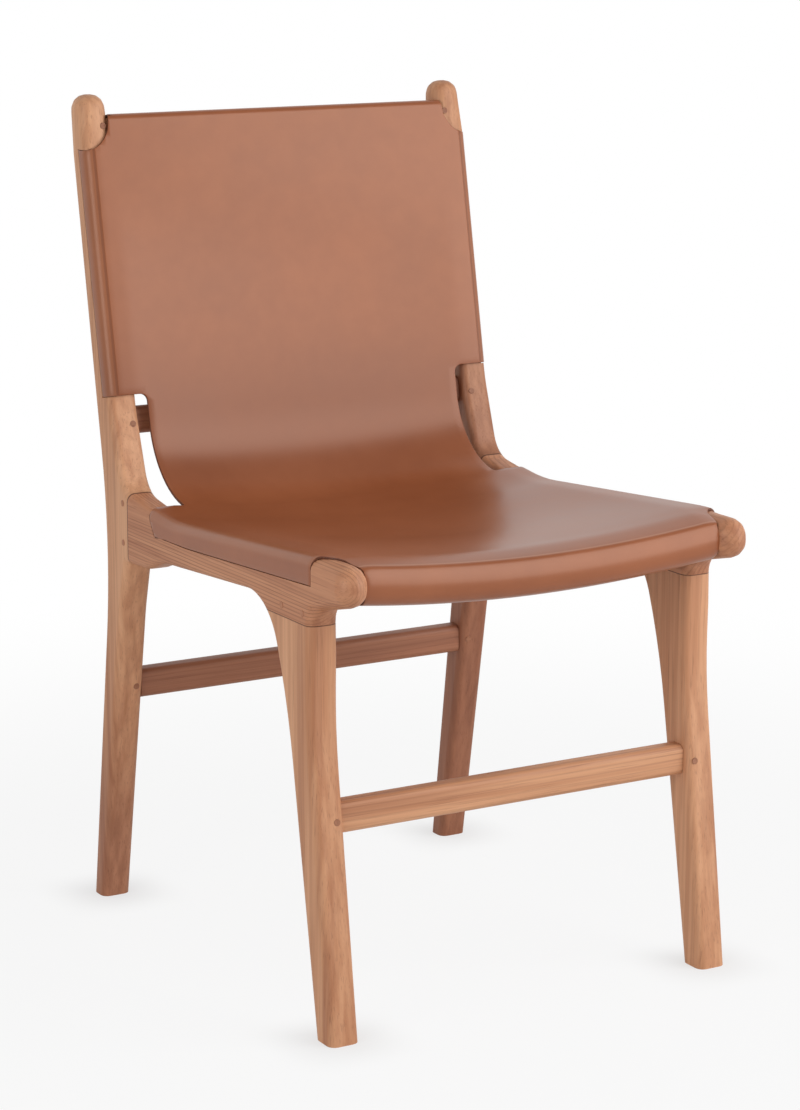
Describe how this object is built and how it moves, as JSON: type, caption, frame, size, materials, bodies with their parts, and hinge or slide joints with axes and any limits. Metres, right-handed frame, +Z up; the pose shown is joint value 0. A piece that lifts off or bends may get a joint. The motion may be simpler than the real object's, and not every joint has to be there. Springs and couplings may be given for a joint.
{
  "type": "leather sling dining chair",
  "caption": "Dining side chair with a pegged teak frame and a single sheet of saddle leather forming the seat and the back.",
  "frame": {"origin": "on the floor, under the centre of the chair's bounding box", "axes": "+X towards the sitter's left, which is the right of the chair seen from its front; +Y from the front to the back; +Z up; the sitter faces -Y"},
  "size_m": [0.4586, 0.5864, 0.86],
  "materials": {
    "post_teak": "teak of the posts, legs and crosspieces, sanded and oiled, satin",
    "rail_teak": "darker teak of the side rails, sanded and oiled, satin, end grain on the noses",
    "peg_teak": "teak pegs cut flush, end grain",
    "saddle_leather": "cognac vegetable-tanned saddle leather, smooth, semi-gloss, burnished edges"
  },
  "bodies": {
    "root": {"rear_post_right": "post_teak", "rear_post_left": "post_teak", "front_leg_right": "post_teak", "front_leg_left": "post_teak", "side_rail_right": "rail_teak", "side_rail_left": "rail_teak", "top_rail": "post_teak", "lower_back_rail": "post_teak", "rear_stretcher": "post_teak", "front_stretcher": "post_teak", "front_seat_rail": "post_teak", "top_rail_peg_right": "peg_teak", "top_rail_peg_left": "peg_teak", "lower_back_rail_peg_right": "peg_teak", "lower_back_rail_peg_left": "peg_teak", "rear_stretcher_peg_right": "peg_teak", "rear_stretcher_peg_left": "peg_teak", "side_rail_upper_peg_right": "peg_teak", "side_rail_upper_peg_left": "peg_teak", "side_rail_lower_peg_right": "peg_teak", "side_rail_lower_peg_left": "peg_teak", "front_stretcher_peg_right": "peg_teak", "front_stretcher_peg_left": "peg_teak", "front_leg_front_peg_right": "peg_teak", "front_leg_front_peg_left": "peg_teak", "front_leg_rear_peg_right": "peg_teak", "front_leg_rear_peg_left": "peg_teak", "leather_sling": "saddle_leather"}
  },
  "joints": []
}
